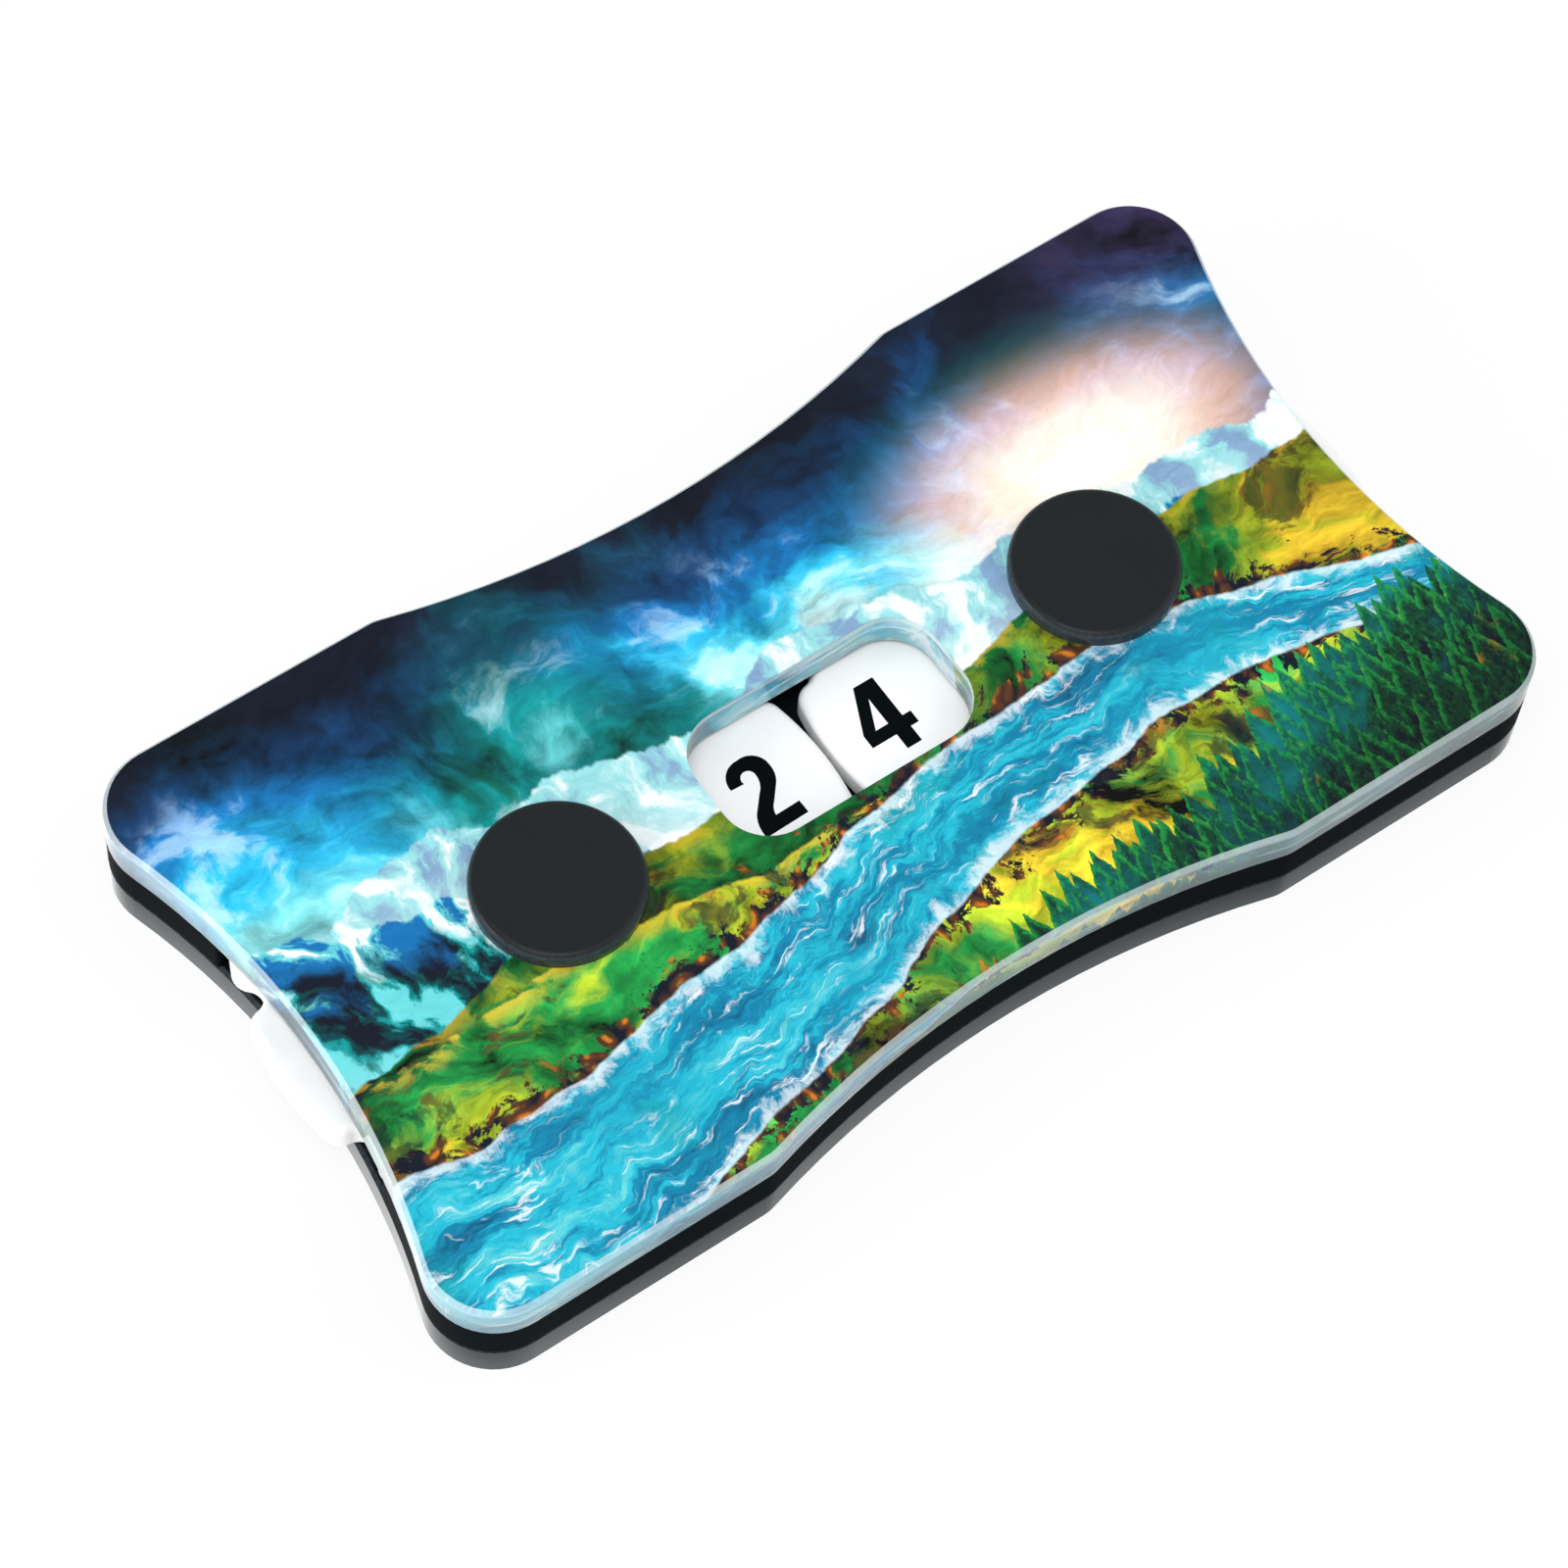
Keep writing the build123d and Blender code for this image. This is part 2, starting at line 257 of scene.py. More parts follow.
    def posts(self, along: Value, scale: float) -> tuple[Socket, Socket]:
        """Return scattered points on a line: how far the nearest one is, and a random number of its own.

        Args:
            along: Place on the line.
            scale: Points per unit.

        Returns:
            The distance's socket and the random number's socket.
        """
        node = self.add("ShaderNodeTexVoronoi", voronoi_dimensions="1D")
        self.feed(node.inputs["W"], along)
        self.feed(node.inputs["Scale"], scale)
        chance, _, _ = self.parts(node.outputs["Color"])
        return node.outputs["Distance"], chance

    def ramp(self, value: Value, stops: Stops) -> Socket:
        """Return a colour read off a ramp.

        Args:
            value: Place on the ramp, 0 to 1.
            stops: Places and colours, in rising order.

        Returns:
            The colour's socket.
        """
        node = self.add("ShaderNodeValToRGB")
        ramp = node.color_ramp
        ramp.interpolation = "EASE"
        while len(ramp.elements) < len(stops):
            ramp.elements.new(1.0)
        for element, (place, colour) in zip(ramp.elements, stops):
            element.position = place
            element.color = (*colour, 1.0)
        self.feed(node.inputs[0], value)
        return node.outputs[0]

    def mix(self, under: Tint, over: Tint, share: Value, blend: Blend = Blend.OVER) -> Socket:
        """Return one colour laid over another.

        Args:
            under: Colour below.
            over: Colour on top.
            share: How much of the top colour shows, 0 to 1.
            blend: How it is laid over.

        Returns:
            The colour's socket.
        """
        node = self.add("ShaderNodeMix", data_type="RGBA", blend_type=blend.value)
        self.feed(node.inputs[MIX_SHARE], share)
        self.feed(node.inputs[MIX_UNDER], under)
        self.feed(node.inputs[MIX_OVER], over)
        return node.outputs[MIX_COLOUR]

    def laid(self, under: Socket, over: Socket, share: Value) -> Socket:
        """Return one shader laid over another.

        Args:
            under: Shader below.
            over: Shader on top.
            share: How much of the top one shows, 0 to 1.

        Returns:
            The shader's socket.
        """
        node = self.add("ShaderNodeMixShader")
        for slot, value in zip(node.inputs, (share, under, over)):
            self.feed(slot, value)
        return node.outputs[0]

    def seen(self) -> Socket:
        """Return 1 where the camera, a reflection or clear matter looks, and 0 where light is gathered.

        Returns:
            The number's socket.
        """
        path = self.add("ShaderNodeLightPath").outputs
        eyes = self.math("MAXIMUM", path["Is Camera Ray"], path["Is Glossy Ray"])
        return self.math("MAXIMUM", eyes, path["Is Transmission Ray"])

    def shade(self, colour: Tint, light: Value) -> Socket:
        """Return a colour times a number."""
        return self.mix(colour, self.joined(light, light, light), 1.0, Blend.TIMES)

    def bump(self, height: Socket, depth: float, strength: float) -> Socket:
        """Return a normal that follows a height.

        Args:
            height: Height, 0 to 1.
            depth: What a height of 1 stands for, in metres.
            strength: Share of the effect.

        Returns:
            The normal's socket.
        """
        node = self.add("ShaderNodeBump")
        self.feed(node.inputs["Height"], height)
        self.feed(node.inputs["Distance"], depth)
        self.feed(node.inputs["Strength"], strength)
        return node.outputs[0]


@dataclass(frozen=True)
class Landscape:
    """A generic valley scene for the printed plate: storm sky, peaks, meadows, a river and woods.

    The scene is worked out from noise.  Lengths are in half plate lengths, so X runs from -1 to 1.
    A hill is its seed, height, slope along X, swing of its edge and shade; a row of firs is its drop
    below the first row and its shade.  Both are listed from the back to the front.
    """

    name: str = "valley_print"
    half_length: float = HALF_LENGTH
    sun: tuple[float, float] = (0.60, 0.16)
    sun_spread: tuple[float, float] = (0.85, 1.5)
    sunwards: tuple[float, float] = (0.16, 0.12)
    hills: tuple[tuple[float, ...], ...] = (
        (21.0, -0.04, 0.10, 0.26, 0.62), (31.0, -0.17, -0.04, 0.24, 1.0))
    fir_rows: tuple[tuple[float, float], ...] = (
        (0.0, 1.0), (0.030, 0.92), (0.066, 0.80), (0.108, 0.68), (0.156, 0.56), (0.212, 0.46), (0.276, 0.36))
    night: Colour = (0.004, 0.007, 0.016)
    violet: Colour = (0.045, 0.030, 0.090)
    navy: Colour = (0.006, 0.040, 0.120)
    blue: Colour = (0.008, 0.150, 0.400)
    cyan: Colour = (0.020, 0.430, 0.700)
    emerald: Colour = (0.003, 0.120, 0.090)
    teal: Colour = (0.005, 0.260, 0.260)
    deep_teal: Colour = (0.003, 0.055, 0.062)
    turquoise: Colour = (0.130, 0.600, 0.630)
    mist: Colour = (0.640, 0.760, 0.770)
    cream: Colour = (0.930, 0.850, 0.700)
    snow: Colour = (0.880, 0.920, 0.940)
    peach: Colour = (0.850, 0.520, 0.340)
    gold: Colour = (0.780, 0.520, 0.030)
    orange: Colour = (0.560, 0.170, 0.015)
    brown: Colour = (0.085, 0.030, 0.014)
    green: Colour = (0.012, 0.240, 0.045)
    lime: Colour = (0.330, 0.430, 0.020)
    forest: Colour = (0.004, 0.050, 0.020)
    deep_water: Colour = (0.003, 0.050, 0.120)
    water: Colour = (0.005, 0.190, 0.340)
    bright_water: Colour = (0.016, 0.440, 0.580)

    def lit(self, bench: Bench, place: Socket, scale: float, detail: float, gain: float) -> Socket:
        """Return light and shade on a made-up relief.

        The light is the noise a little sunwards less the noise here, times the gain, round a half.

        Args:
            bench: Where the nodes go.
            place: Where it is read.
            scale: Features per unit.
            detail: Number of finer layers.
            gain: Contrast.

        Returns:
            The light's socket, about 0 to 1.
        """
        here, _ = bench.noise(place, scale, detail, 0.6, 0.3)
        moved = bench.vector("ADD", place, (*(way / scale for way in self.sunwards), 0.0))
        near, _ = bench.noise(moved, scale, detail, 0.6, 0.3)
        return bench.line(bench.minus(near, here), gain, 0.5)

    def skyline(self, bench: Bench, x: Socket, seed: float, scale: float, base: Value, swing: float,
                detail: float = 6.0) -> Socket:
        """Return the height of a skyline over X: a base plus noise along X times a swing."""
        wave, _ = bench.noise(bench.joined(x, seed, 0.0), scale, detail, 0.52)
        return bench.plus(bench.line(wave, swing, -0.5 * swing), base)

    def sky(self, bench: Bench, x: Socket, y: Socket, warped: Socket) -> Socket:
        """Return the storm sky: ramps over height that cloud noise moves, with light on the clouds' relief.

        Args:
            bench: Where the nodes go.
            x: Place along the plate.
            y: Place across the plate.
            warped: The place, moved by noise.

        Returns:
            The colour's socket.
        """
        cloud, _ = bench.noise(warped, 1.9, 7.0, 0.56, 0.8)
        large, _ = bench.noise(bench.vector("ADD", warped, (4.0, 7.0, 0.0)), 0.9, 2.0, 0.5)
        height = bench.plus(bench.line(y, 1.15, 0.20), bench.line(cloud, 2.1, -1.05))
        height = bench.minus(height, bench.step(x, -0.20, -0.90, 0.0, 0.42))
        height = bench.plus(height, bench.step(y, 0.22, 0.52, 0.0, 0.34))
        cold = bench.ramp(height, ((0.0, self.mist), (0.14, self.turquoise), (0.30, self.cyan),
                                   (0.50, self.blue), (0.72, self.navy), (0.98, self.night)))
        warm = bench.ramp(height, ((0.0, self.cream), (0.14, self.mist), (0.28, self.turquoise),
                                   (0.42, self.teal), (0.58, self.emerald), (0.76, self.deep_teal),
                                   (0.98, self.night)))
        off_middle = bench.math("ABSOLUTE", bench.line(x, 1.0, 0.12))
        side = bench.plus(large, bench.step(off_middle, 0.2, 0.7, 0.09, -0.06))
        colour = bench.mix(cold, warm, bench.step(side, 0.45, 0.57))
        corner = bench.times(bench.step(x, 0.60, 0.95, 0.0, 0.7), bench.step(y, 0.20, 0.45))
        colour = bench.mix(colour, self.violet, corner)
        relief = self.lit(bench, bench.vector("MULTIPLY", warped, (1.0, 1.3, 1.0)), 2.7, 7.0, 3.6)
        colour = bench.shade(colour, bench.line(relief, 1.5, 0.28))
        puff = bench.times(bench.step(relief, 0.58, 0.90), bench.step(height, 0.85, 0.25))
        return bench.mix(colour, self.mist, bench.times(puff, 0.55))

    def glow(self, bench: Bench, x: Socket, y: Socket, under: Socket) -> Socket:
        """Return the sky with a low sun: snow, cream and peach rings that fade with distance.

        Args:
            bench: Where the nodes go.
            x: Place along the plate.
            y: Place across the plate.
            under: The sky.

        Returns:
            The colour's socket.
        """
        reach = bench.length(*(bench.line(place, spread, -spread * sun)
                               for place, spread, sun in zip((x, y), self.sun_spread, self.sun)))
        halo = bench.ramp(reach, ((0.02, self.snow), (0.10, self.cream), (0.22, self.peach),
                                  (0.40, self.teal)))
        lit = bench.mix(under, halo, bench.step(reach, 0.46, 0.06, 0.0, 0.95), Blend.SCREEN)
        return bench.mix(lit, halo, bench.step(reach, 0.30, 0.03, 0.0, 0.9))

    def peaks(self, bench: Bench, x: Socket, y: Socket, warped: Socket, under: Socket) -> Socket:
        """Return the scene with two mountain ranges, the far one in mist and the near one with snow.

        Args:
            bench: Where the nodes go.
            x: Place along the plate.
            y: Place across the plate.
            warped: The place, moved by noise.
            under: The scene so far.

        Returns:
            The colour's socket.
        """
        far = self.skyline(bench, x, 3.7, 2.6, 0.12, 0.42, 7.0)
        near = self.skyline(bench, x, 11.3, 1.7, bench.line(x, -0.12, 0.04), 0.62, 8.0)
        rock = bench.vector("MULTIPLY", warped, (1.0, 0.55, 1.0))
        light = self.lit(bench, rock, 5.0, 6.0, 5.0)
        far_colour = bench.mix(bench.ramp(light, ((0.1, self.blue), (0.5, self.turquoise), (0.9, self.snow))),
                               self.mist, bench.step(bench.minus(far, y), 0.02, 0.26, 0.30, 0.95))
        scene = bench.mix(under, far_colour, bench.step(bench.minus(far, y), -0.004, 0.004))
        depth = bench.minus(near, y)
        stone = bench.ramp(light, ((0.15, self.night), (0.42, self.deep_teal), (0.60, self.teal),
                                   (0.85, self.turquoise)))
        snowy = bench.ramp(light, ((0.25, self.blue), (0.5, self.turquoise), (0.62, self.snow)))
        patch, _ = bench.noise(warped, 9.0, 5.0, 0.6)
        snow_line = bench.step(bench.plus(depth, bench.line(patch, 0.36, -0.18)), 0.02, 0.11, 1.0, 0.0)
        near_colour = bench.mix(stone, snowy, snow_line)
        near_colour = bench.mix(near_colour, self.mist, bench.step(depth, 0.20, 0.46, 0.0, 0.75))
        return bench.mix(scene, near_colour, bench.step(depth, -0.0035, 0.0035))

    def meadows(self, bench: Bench, x: Socket, y: Socket, warped: Socket, under: Socket) -> Socket:
        """Return the scene with rolling meadows: green and gold patches, brown rocks and shaded folds.

        Args:
            bench: Where the nodes go.
            x: Place along the plate.
            y: Place across the plate.
            warped: The place, moved by noise.
            under: The scene so far.

        Returns:
            The colour's socket.
        """
        scene = under
        for seed, base, slope, swing, dark in self.hills:
            edge = self.skyline(bench, x, seed, 1.5, bench.line(x, slope, base), swing, 7.0)
            depth = bench.minus(edge, y)
            fold = bench.vector("ADD", bench.vector("MULTIPLY", warped, (1.0, 1.5, 1.0)), (seed, 0.0, 0.0))
            light = self.lit(bench, fold, 3.6, 7.0, 4.6)
            patch, _ = bench.noise(fold, 2.4, 6.0, 0.6, 1.2)
            grass = bench.ramp(patch, ((0.30, self.forest), (0.44, self.green), (0.56, self.lime),
                                       (0.66, self.gold)))
            grass = bench.shade(grass, bench.line(light, 1.6, 0.20))
            crack = bench.cells(fold, 15.0)
            rocky, _ = bench.noise(fold, 6.5, 5.0, 0.65)
            stones = bench.ramp(crack, ((0.05, self.orange), (0.35, self.brown), (0.7, self.night)))
            grass = bench.mix(grass, stones, bench.times(bench.step(rocky, 0.53, 0.60),
                                                         bench.step(depth, 0.0, 0.02, 0.9, 0.75)))
            rim = bench.step(depth, 0.0, 0.035, 0.7, 0.0)
            grass = bench.mix(grass, self.gold, bench.times(rim, bench.step(light, 0.45, 0.75)))
            scene = bench.mix(scene, bench.shade(grass, dark), bench.step(depth, -0.003, 0.003))
        return scene

    def river(self, bench: Bench, x: Socket, y: Socket, warped: Socket, under: Socket) -> Socket:
        """Return the scene with a wide river; its streaks run along it, by the distance from its middle.

        Args:
            bench: Where the nodes go.
            x: Place along the plate.
            y: Place across the plate.
            warped: The place, moved by noise.
            under: The scene so far.

        Returns:
            The colour's socket.
        """
        bend, _ = bench.noise(bench.joined(x, 41.0, 0.0), 1.8, 3.0, 0.5)
        middle = bench.plus(bench.line(bench.math("SINE", bench.line(x, 2.6, 0.5)), 0.13, -0.31),
                            bench.line(bend, 0.16, -0.08))
        width = bench.line(x, -0.052, 0.100)
        across = bench.minus(y, middle)
        gap = bench.minus(bench.math("ABSOLUTE", across), width)
        swell, _ = bench.noise(warped, 7.0, 3.0, 0.6)
        flow = bench.joined(bench.line(x, 2.4, 0.0),
                            bench.plus(bench.times(across, 13.0), bench.line(swell, 1.3, 0.0)), 0.0)
        streak, _ = bench.noise(flow, 1.15, 8.0, 0.70, 0.35)
        ripple, _ = bench.noise(bench.vector("MULTIPLY", flow, (5.0, 3.4, 1.0)), 2.6, 4.0, 0.6)
        calm, _ = bench.noise(bench.vector("ADD", warped, (9.0, 3.0, 0.0)), 2.6, 3.0, 0.5)
        deep = bench.ramp(bench.plus(streak, bench.line(ripple, 0.22, -0.11)),
                          ((0.30, self.deep_water), (0.44, self.water), (0.54, self.bright_water),
                           (0.66, self.turquoise), (0.80, self.snow)))
        even = bench.mix(self.water, self.bright_water, streak)
        deep = bench.mix(deep, even, bench.step(calm, 0.40, 0.60, 0.05, 0.45))
        pool, _ = bench.noise(bench.vector("MULTIPLY", warped, (1.6, 3.0, 1.0)), 1.5, 5.0, 0.6, 0.5)
        deep = bench.mix(deep, self.teal, bench.step(pool, 0.52, 0.66, 0.0, 0.55))
        deep = bench.mix(deep, self.navy, bench.step(pool, 0.44, 0.30, 0.0, 0.70))
        crest, _ = bench.noise(bench.vector("MULTIPLY", flow, (2.2, 2.4, 1.0)), 2.0, 6.0, 0.66, 0.8)
        rough = bench.times(bench.step(crest, 0.55, 0.66), bench.step(calm, 0.60, 0.42))
        deep = bench.mix(deep, self.snow, bench.times(rough, 0.75))
        foam, _ = bench.noise(warped, 26.0, 4.0, 0.7)
        bank = bench.step(bench.plus(gap, bench.line(foam, 0.13, -0.065)), -0.026, 0.004)
        water = bench.mix(deep, self.snow, bench.times(bank, 0.6))
        pebble = bench.cells(warped, 34.0)
        stones = bench.ramp(pebble, ((0.10, self.orange), (0.36, self.brown), (0.70, self.night)))
        shore = bench.plus(gap, bench.line(foam, 0.26, -0.13))
        scene = bench.mix(under, stones, bench.step(shore, 0.030, 0.012))
        return bench.mix(scene, water, bench.step(gap, 0.003, -0.003))

    def woods(self, bench: Bench, x: Socket, y: Socket, warped: Socket, under: Socket) -> Socket:
        """Return the scene with a near bank of firs: rows of saw-toothed tops, each row lower and darker.

        Args:
            bench: Where the nodes go.
            x: Place along the plate.
            y: Place across the plate.
            warped: The place, moved by noise.
            under: The scene so far.

        Returns:
            The colour's socket.
        """
        ground = self.skyline(bench, x, 57.0, 2.0, bench.line(x, 0.20, -0.466), 0.16, 4.0)
        needles, _ = bench.noise(bench.joined(bench.times(x, 1.6), y, 0.0), 70.0, 2.5, 0.7, 0.4)
        autumn, _ = bench.noise(bench.vector("ADD", warped, (2.0, 5.0, 0.0)), 6.0, 4.0, 0.6)
        haze, _ = bench.noise(bench.vector("ADD", warped, (6.0, 2.0, 0.0)), 3.2, 4.0, 0.55)
        scene = under
        for row, (drop, tone) in enumerate(self.fir_rows):
            away, chance = bench.posts(bench.line(x, 1.0, 5.0 + 3.7 * row), 27.0 - 1.6 * row)
            height = bench.line(chance, 0.036 + 0.004 * row, 0.014)
            fir = bench.minus(height, bench.times(away, 0.100 + 0.008 * row))
            tops = bench.plus(bench.line(ground, 1.0, -drop), fir)
            tops = bench.plus(tops, bench.line(needles, 0.020, -0.010))
            depth = bench.minus(tops, y)
            light = bench.plus(bench.step(depth, 0.0, 0.045, 0.40, 0.10), bench.line(needles, 0.9, -0.45))
            light = bench.plus(light, bench.line(chance, 0.22, -0.04))
            leaves = bench.ramp(light, ((0.08, self.night), (0.30, self.forest), (0.56, self.green),
                                        (0.86, self.lime)))
            turned = bench.times(bench.step(autumn, 0.60, 0.66), bench.step(light, 0.25, 0.7))
            leaves = bench.mix(leaves, self.orange, turned)
            dimmed = bench.times(bench.step(haze, 0.44, 0.62), bench.step(depth, 0.0, 0.05, 0.12, 0.60))
            leaves = bench.mix(leaves, self.teal, dimmed)
            scene = bench.mix(scene, bench.shade(leaves, tone), bench.step(depth, -0.0015, 0.0015))
        return scene

    def group(self) -> bpy.types.NodeTree:
        """Return the node group that turns a place on the plate into the print's colour.

        Returns:
            The group, which is made once and shared.
        """
        if self.name in bpy.data.node_groups:
            return bpy.data.node_groups[self.name]
        tree = bpy.data.node_groups.new(self.name, "ShaderNodeTree")
        tree.interface.new_socket("Place", in_out="INPUT", socket_type="NodeSocketVector")
        tree.interface.new_socket("Colour", in_out="OUTPUT", socket_type="NodeSocketColor")
        bench = Bench(tree)
        start = bench.add("NodeGroupInput")
        end = bench.add("NodeGroupOutput")
        along, across, _ = bench.parts(start.outputs[0])
        x, y = (bench.times(place, 1.0 / self.half_length) for place in (along, across))
        flat = bench.joined(x, y, 0.0)
        _, sway = bench.noise(flat, 2.0, 4.0, 0.55)
        _, ripple = bench.noise(flat, 14.0, 4.0, 0.6)
        middle = (0.5, 0.5, 0.5)
        swing = bench.vector("SUBTRACT", sway, middle)
        wave = bench.vector("SUBTRACT", ripple, middle)
        warped = bench.vector("ADD", flat, bench.vector("SCALE", swing, 0.42))
        warped = bench.vector("ADD", warped, bench.vector("SCALE", wave, 0.035))
        wx, wy, _ = bench.parts(bench.vector("ADD", flat, bench.vector("SCALE", wave, 0.022)))
        scene = self.sky(bench, x, y, warped)
        scene = self.glow(bench, x, y, scene)
        scene = self.peaks(bench, wx, wy, warped, scene)
        scene = self.meadows(bench, wx, wy, warped, scene)
        scene = self.river(bench, wx, wy, warped, scene)
        scene = self.woods(bench, wx, y, warped, scene)
        brush, _ = bench.noise(bench.vector("MULTIPLY", warped, (4.0, 10.0, 1.0)), 6.0, 3.0, 0.6, 0.6)
        scene = bench.shade(scene, bench.line(brush, 0.44, 0.78))
        bench.feed(end.inputs[0], scene)
        return tree


class Finish:
    """One material on a bench, with its own Object coordinates and normal."""

    def __init__(self, name: str) -> None:
        """Start an empty material.

        Args:
            name: The material's name.
        """
        self.material = bpy.data.materials.new(name)
        self.material.use_nodes = True
        tree = self.material.node_tree
        tree.nodes.clear()
        self.bench = Bench(tree)
        self.shader = self.bench.add("ShaderNodeBsdfPrincipled")
        output = self.bench.add("ShaderNodeOutputMaterial")
        tree.links.new(self.shader.outputs[0], output.inputs[0])
        self.place = self.bench.add("ShaderNodeTexCoord").outputs["Object"]
        self.normal = self.bench.add("ShaderNodeNewGeometry").outputs["Normal"]

    def put(self, **values: Value | Tint) -> None:
        """Feed the shader's sockets; an underscore in a name stands for a space."""
        for name, value in values.items():
            self.bench.feed(self.shader.inputs[name.replace("_", " ")], value)

    def from_axle(self) -> Socket:
        """Return how far a place is from the nearer axle."""
        x, y, _ = self.bench.parts(self.place)
        return self.bench.length(self.bench.line(self.bench.math("ABSOLUTE", x), 1.0, -AXLE_X), y)

    def dress(self, *nodes: str) -> None:
        """Give this finish to CAD nodes.

        Args:
            nodes: The nodes' names.
        """
        for node in nodes:
            mesh = frame["nodes"][node].data
            mesh.materials.clear()
            mesh.materials.append(self.material)
            log.info("%s: %s", node, self.material.name)


@dataclass(frozen=True)
class SheetFinish:
    """Black acrylic sheet: polished or dull, with cut walls, smudges and worn edges.

    Its edges show the worn colour; a wall has painted light, a paler colour towards its foot, by a share.
    Gloss and tint are its mirror's strength and colour.
    """

    name: str
    colour: Colour
    roughness: float
    gloss: float
    smudge: float = 0.06
    cut_depth: float = 0.004 * MM
    worn: Colour = (0.042, 0.052, 0.058)
    # painted light: the paler colour painted towards a wall's foot, and its share
    painted_foot_tone: Colour = (0.0, 0.0, 0.0)
    painted_foot_share: float = 0.0
    wall_top: float = 2.8 * MM
    tint: Colour = (0.74, 0.92, 1.0)

    def build(self) -> Finish:
        """Return the finish.

        Smudges are slow noise, cut lines are noise drawn out along Z, arrises are worn, and a polished
        wall has painted light: it is painted paler towards its foot.

        Returns:
            The finish.
        """
        finish = Finish(self.name)
        bench = finish.bench
        cloud, _ = bench.noise(finish.place, 160.0, 5.0, 0.6)
        speck, _ = bench.noise(finish.place, 2600.0, 3.0, 0.6)
        _, _, up = bench.parts(finish.normal)
        tilt = bench.math("ABSOLUTE", up)
        edge = bench.times(bench.step(tilt, 0.15, 0.5), bench.step(tilt, 0.98, 0.85))
        wall = bench.step(tilt, 0.4, 0.1)
        lines, _ = bench.noise(bench.vector("MULTIPLY", finish.place, (1.0, 1.0, 0.03)), 1900.0, 3.0, 0.65)
        drawn = bench.vector("MULTIPLY", finish.place, (1.0, 9.0, 1.0))
        scratch, _ = bench.noise(drawn, 420.0, 5.0, 0.7, 0.4)
        colour = bench.shade(self.colour, bench.line(cloud, 0.5, 0.75))
        _, _, z = bench.parts(finish.place)
        # painted light: the wall is painted paler towards its foot, fading out at wall_top
        painted_foot_mask = bench.times(wall, bench.step(z, self.wall_top, 0.0, 0.0, self.painted_foot_share))
        colour = bench.mix(colour, self.painted_foot_tone, painted_foot_mask)
        # worn arrises, speckled
        worn_edge_and_painted_rim = bench.times(edge, bench.step(speck, 0.40, 0.66, 0.35, 1.0))
        colour = bench.mix(colour, self.worn, bench.times(worn_edge_and_painted_rim, 0.6))
        smeared = bench.line(cloud, self.smudge, self.roughness - 0.5 * self.smudge)
        rough = bench.plus(smeared, bench.times(edge, 0.12))
        rough = bench.plus(rough, bench.step(scratch, 0.66, 0.74, 0.0, 0.10))
        height = bench.plus(bench.times(lines, wall), bench.times(speck, 0.25))
        finish.put(Base_Color=colour, Roughness=rough, Specular_IOR_Level=self.gloss, Specular_Tint=self.tint,
                   Normal=bench.bump(height, self.cut_depth, 0.5))
        return finish


@dataclass(frozen=True)
class PrintFinish:
    """The printed film on the plate: the valley scene under a satin varnish."""

    picture: Landscape = Landscape()
    gloss: float = 0.10
    grain_depth: float = 0.003 * MM

    def build(self) -> Finish:
        """Return the finish: the scene's colour, a fine ink grain and a satin varnish.

        Returns:
            The finish.
        """
        finish = Finish("picture")
        bench = finish.bench
        group = bench.add("ShaderNodeGroup", node_tree=self.picture.group())
        bench.feed(group.inputs[0], finish.place)
        ink, _ = bench.noise(finish.place, 5200.0, 2.0, 0.5)
        cloud, _ = bench.noise(finish.place, 140.0, 4.0, 0.6)
        colour = bench.shade(group.outputs[0], bench.line(ink, 0.10, 0.95))
        finish.put(Base_Color=colour, Roughness=bench.line(cloud, 0.10, 0.36), Specular_IOR_Level=self.gloss,
                   Normal=bench.bump(ink, self.grain_depth, 0.25))
        return finish


